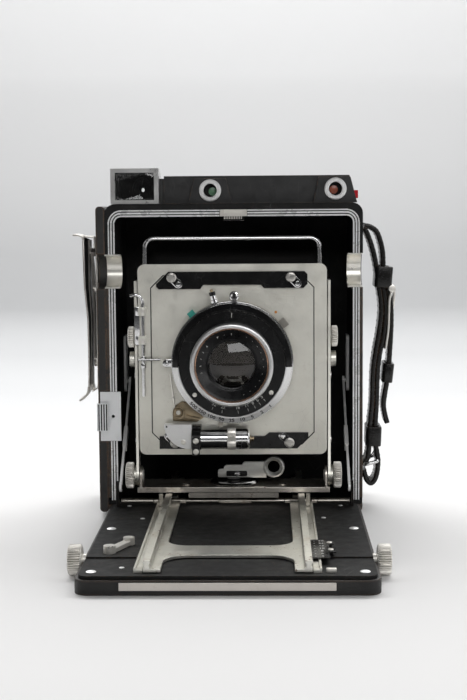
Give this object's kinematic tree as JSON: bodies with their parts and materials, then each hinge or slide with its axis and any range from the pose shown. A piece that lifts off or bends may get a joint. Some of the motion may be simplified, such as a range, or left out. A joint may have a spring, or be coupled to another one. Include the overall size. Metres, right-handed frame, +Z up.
{
  "type": "press camera",
  "caption": "Folding press camera: leather-covered box, drop bed with focus track, struts, tilting and rising front standard, leaf-shutter lens, bellows and spring back.",
  "frame": {"origin": "mouth of the tripod socket, at the middle of the box's underside, on the surface that the camera stands on", "axes": "+Z up, the lens looks along -Y, +X to the right of a viewer who faces the lens"},
  "size_m": [0.2186, 0.304, 0.2334],
  "materials": {
    "black_leather": "satin grain",
    "strap_leather": "smooth, glossy",
    "bellows_leather": "matt",
    "black_enamel": "satin",
    "black_crackle": "fine crackle",
    "chrome": "polished",
    "nickel": "satin",
    "track_alloy": "brushed, spotted with rust",
    "plate_alloy": "satin",
    "strut_steel": "brushed",
    "dark_nickel": "tarnished",
    "glass": "coated",
    "ground_glass": "ground",
    "red_plastic": "gloss",
    "teal_enamel": "gloss"
  },
  "bodies": {
    "box": {"body_shell": "black_leather", "side_cover": "black_leather", "front_trim": "chrome", "notch_liners": "nickel", "rangefinder_housing": "black_enamel", "finder_glasses": "glass", "viewfinder_body": "nickel", "bed_catch": "nickel", "hinge_barrel": "dark_nickel", "brace_tracks": "strut_steel", "inner_rails": "track_alloy", "release_plate": "nickel", "flash_bracket": "dark_nickel", "handle_strap": "strap_leather", "strap_hardware": "nickel", "back_frame": "black_enamel", "tripod_plate": "dark_nickel", "bellows": "bellows_leather"},
    "release_pad": {"release_pad": "nickel"},
    "red_button": {"red_button": "red_plastic"},
    "peep_sight": {"peep_sight": "black_enamel"},
    "back_panel": {"focus_panel": "black_enamel", "ground_glass": "ground_glass"},
    "hood": {"focusing_hood": "black_enamel"},
    "back_locks": {"back_locks": "nickel"},
    "bed": {"bed_panel": "black_leather", "bed_plate": "black_crackle", "bed_edge_strip": "chrome", "bed_hinge": "dark_nickel", "guide_rails": "track_alloy"},
    "track": {"focus_track": "track_alloy"},
    "pinion": {"pinion_shaft": "dark_nickel", "focus_knobs": "nickel"},
    "track_lock": {"track_lock_lever": "chrome"},
    "stops": {"infinity_stops": "dark_nickel"},
    "brace_left": {"brace_left": "strut_steel"},
    "brace_right": {"brace_right": "strut_steel"},
    "standard": {"standard_base": "track_alloy"},
    "clamp": {"clamp_lever": "nickel"},
    "arms": {"standard_arms": "plate_alloy"},
    "tilt_knobs": {"tilt_knobs": "nickel"},
    "rise_knobs": {"rise_knobs": "nickel"},
    "lens_frame": {"lens_frame_plate": "plate_alloy", "lens_board": "plate_alloy", "slider_screws": "chrome", "solenoid": "chrome", "shutter_case": "black_enamel", "shutter_blades": "black_enamel", "scale_plate": "black_enamel", "lens_cells": "nickel", "lens_glass": "glass"},
    "top_slider": {"top_slider": "black_enamel"},
    "bottom_slider": {"bottom_slider": "black_enamel"},
    "wire_finder": {"wire_finder": "chrome"},
    "release_rod": {"release_rod": "chrome"},
    "speed_ring": {"speed_ring": "chrome"},
    "aperture_ring": {"aperture_ring": "nickel"},
    "cocking_lever": {"cocking_lever": "chrome"},
    "sync_lever": {"sync_lever": "teal_enamel"},
    "release_lever": {"release_lever": "chrome"}
  },
  "joints": [
    {"name": "bed_fold", "type": "hinge", "parent": "box", "child": "bed", "pos_m": [0, -0.0434, 0.0104], "axis": [-1, 0, 0], "range_deg": [0, 90]},
    {"name": "brace_left_swing", "type": "hinge", "parent": "bed", "child": "brace_left", "pos_m": [-0.0758, -0.0574, 0.023], "axis": [1, 0, 0], "range_deg": [0, 111]},
    {"name": "brace_right_swing", "type": "hinge", "parent": "bed", "child": "brace_right", "pos_m": [0.0758, -0.0574, 0.023], "axis": [1, 0, 0], "range_deg": [0, 111]},
    {"name": "standard_slide", "type": "slide", "parent": "box", "child": "standard", "axis": [0, 1, 0], "range_m": [0, 0.0401], "deforming": ["bellows"]},
    {"name": "focus_slide", "type": "slide", "parent": "bed", "child": "track", "axis": [0, 1, 0], "range_m": [-0.045, 0]},
    {"name": "pinion_turn", "type": "hinge", "parent": "bed", "child": "pinion", "pos_m": [0, -0.198, 0.0091], "axis": [1, 0, 0], "range_deg": [0, 860]},
    {"name": "track_lock_turn", "type": "hinge", "parent": "bed", "child": "track_lock", "pos_m": [-0.06, -0.167, 0.0125], "axis": [0, 0, 1], "range_deg": [-35, 0]},
    {"name": "infinity_flip", "type": "hinge", "parent": "bed", "child": "stops", "pos_m": [0, -0.068, 0.0138], "axis": [1, 0, 0], "range_deg": [0, 80]},
    {"name": "clamp_turn", "type": "hinge", "parent": "standard", "child": "clamp", "pos_m": [-0.001, -0.0316, 0.022], "axis": [0, 0, 1], "range_deg": [-70, 0]},
    {"name": "front_tilt", "type": "hinge", "parent": "standard", "child": "arms", "pos_m": [-0.001, -0.045, 0.0286], "axis": [-1, 0, 0], "range_deg": [-10, 10]},
    {"name": "front_rise", "type": "slide", "parent": "arms", "child": "lens_frame", "axis": [0, 0, -1], "range_m": [-0.019, 0]},
    {"name": "tilt_lock_turn", "type": "hinge", "parent": "standard", "child": "tilt_knobs", "pos_m": [-0.001, -0.045, 0.0286], "axis": [1, 0, 0], "range_deg": [0, 180]},
    {"name": "rise_lock_turn", "type": "hinge", "parent": "lens_frame", "child": "rise_knobs", "pos_m": [-0.001, -0.045, 0.122], "axis": [1, 0, 0], "range_deg": [0, 180]},
    {"name": "top_lock_slide", "type": "slide", "parent": "lens_frame", "child": "top_slider", "axis": [-0.7071, 0, 0.7071], "range_m": [0, 0.0045]},
    {"name": "bottom_lock_slide", "type": "slide", "parent": "lens_frame", "child": "bottom_slider", "axis": [0.7071, 0, -0.7071], "range_m": [0, 0.0045]},
    {"name": "wire_finder_slide", "type": "slide", "parent": "lens_frame", "child": "wire_finder", "axis": [0, 0, -1], "range_m": [-0.075, 0]},
    {"name": "speed_turn", "type": "hinge", "parent": "lens_frame", "child": "speed_ring", "pos_m": [-0.001, -0.0625, 0.1062], "axis": [0, 1, 0], "range_deg": [-60, 120]},
    {"name": "aperture_turn", "type": "hinge", "parent": "lens_frame", "child": "aperture_ring", "pos_m": [-0.001, -0.0625, 0.1062], "axis": [0, 1, 0], "range_deg": [-20, 25]},
    {"name": "cocking_turn", "type": "hinge", "parent": "lens_frame", "child": "cocking_lever", "pos_m": [-0.001, -0.0625, 0.1062], "axis": [0, 1, 0], "range_deg": [0, 38], "stiffness_Nm_per_rad": 0.03},
    {"name": "sync_turn", "type": "hinge", "parent": "lens_frame", "child": "sync_lever", "pos_m": [-0.001, -0.0625, 0.1062], "axis": [0, 1, 0], "range_deg": [-10, 0]},
    {"name": "release_slide", "type": "slide", "parent": "lens_frame", "child": "release_rod", "axis": [0, 0, -1], "range_m": [0, 0.004], "stiffness_N_per_m": 120, "springref_m": -0.002},
    {"name": "release_turn", "type": "hinge", "parent": "lens_frame", "child": "release_lever", "pos_m": [-0.001, -0.0625, 0.1062], "axis": [0, 1, 0], "range_deg": [0, 10.1]},
    {"name": "release_press", "type": "slide", "parent": "box", "child": "release_pad", "axis": [0, 1, 0], "range_m": [0, 0.002], "stiffness_N_per_m": 300},
    {"name": "red_button_press", "type": "slide", "parent": "box", "child": "red_button", "axis": [-1, 0, 0], "range_m": [0, 0.002], "stiffness_N_per_m": 300},
    {"name": "peep_flip", "type": "hinge", "parent": "box", "child": "peep_sight", "pos_m": [0, 0.035, 0.213], "axis": [-1, 0, 0], "range_deg": [0, 90]},
    {"name": "back_slide", "type": "slide", "parent": "box", "child": "back_panel", "axis": [0, 1, 0], "range_m": [0, 0.012], "stiffness_N_per_m": 200},
    {"name": "hood_open", "type": "hinge", "parent": "back_panel", "child": "hood", "pos_m": [0, 0.0595, 0.1595], "axis": [1, 0, 0], "range_deg": [0, 100]},
    {"name": "back_lock_slide", "type": "slide", "parent": "box", "child": "back_locks", "axis": [1, 0, 0], "range_m": [0, 0.006]}
  ],
  "couplings": [
    {"joint": "brace_left_swing", "follows": "bed_fold", "ratio": 1.2289},
    {"joint": "brace_right_swing", "follows": "bed_fold", "ratio": 1.2289},
    {"joint": "standard_slide", "follows": "bed_fold", "m_per_rad": 0.025465},
    {"joint": "pinion_turn", "follows": "focus_slide", "rad_per_m": -333.33},
    {"joint": "release_turn", "follows": "release_slide", "rad_per_m": 43.633}
  ]
}
